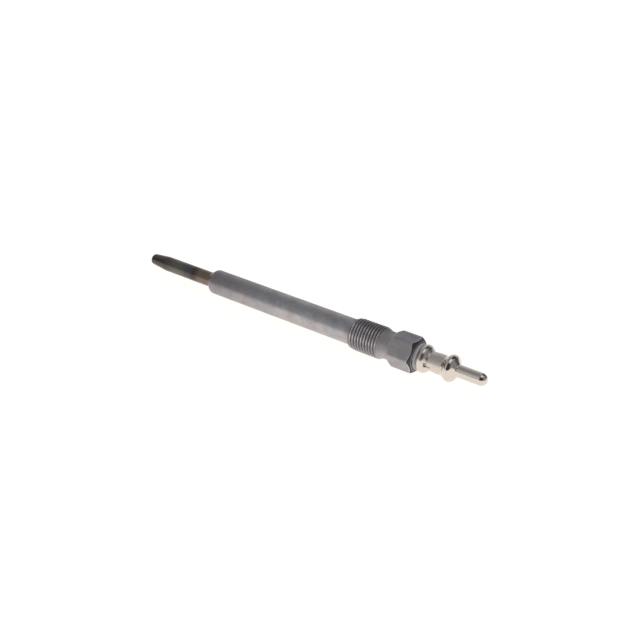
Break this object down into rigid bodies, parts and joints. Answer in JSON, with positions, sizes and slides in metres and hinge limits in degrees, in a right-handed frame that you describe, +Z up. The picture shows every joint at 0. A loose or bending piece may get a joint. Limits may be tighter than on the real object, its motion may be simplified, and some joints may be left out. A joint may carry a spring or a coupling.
{
  "type": "diesel glow plug",
  "caption": "Sheathed diesel glow plug: slim grey steel body with conical seat, fine thread and chamfered hexagon, dark rod heater in front, nickel-plated snap terminal behind.",
  "frame": {"origin": "on the plug's axis, where the conical seat starts around the heater sheath", "axes": "+X along the axis towards the terminal, +Z up, square to the hexagon flat that faces down"},
  "size_m": [0.1305, 0.0112, 0.01],
  "materials": {
    "body_steel": "matt grey plated steel with fine turning marks",
    "sheath_alloy": "heat-tinted nickel alloy, black to bronze",
    "coil_wire": "drawn resistance wire",
    "packed_powder": "compacted pale mineral powder",
    "seal_elastomer": "matt black elastomer",
    "rod_steel": "drawn bright steel",
    "insulator_plastic": "matt grey-green moulded plastic",
    "terminal_nickel": "bright warm nickel plate"
  },
  "bodies": {
    "root": {"plug_body": "body_steel", "heater_sheath": "sheath_alloy", "heating_coil": "coil_wire", "regulating_coil": "coil_wire", "insulating_powder": "packed_powder", "sheath_seal": "seal_elastomer", "connecting_rod": "rod_steel", "body_seal": "seal_elastomer", "insulating_ring": "insulator_plastic", "terminal": "terminal_nickel"}
  },
  "joints": []
}
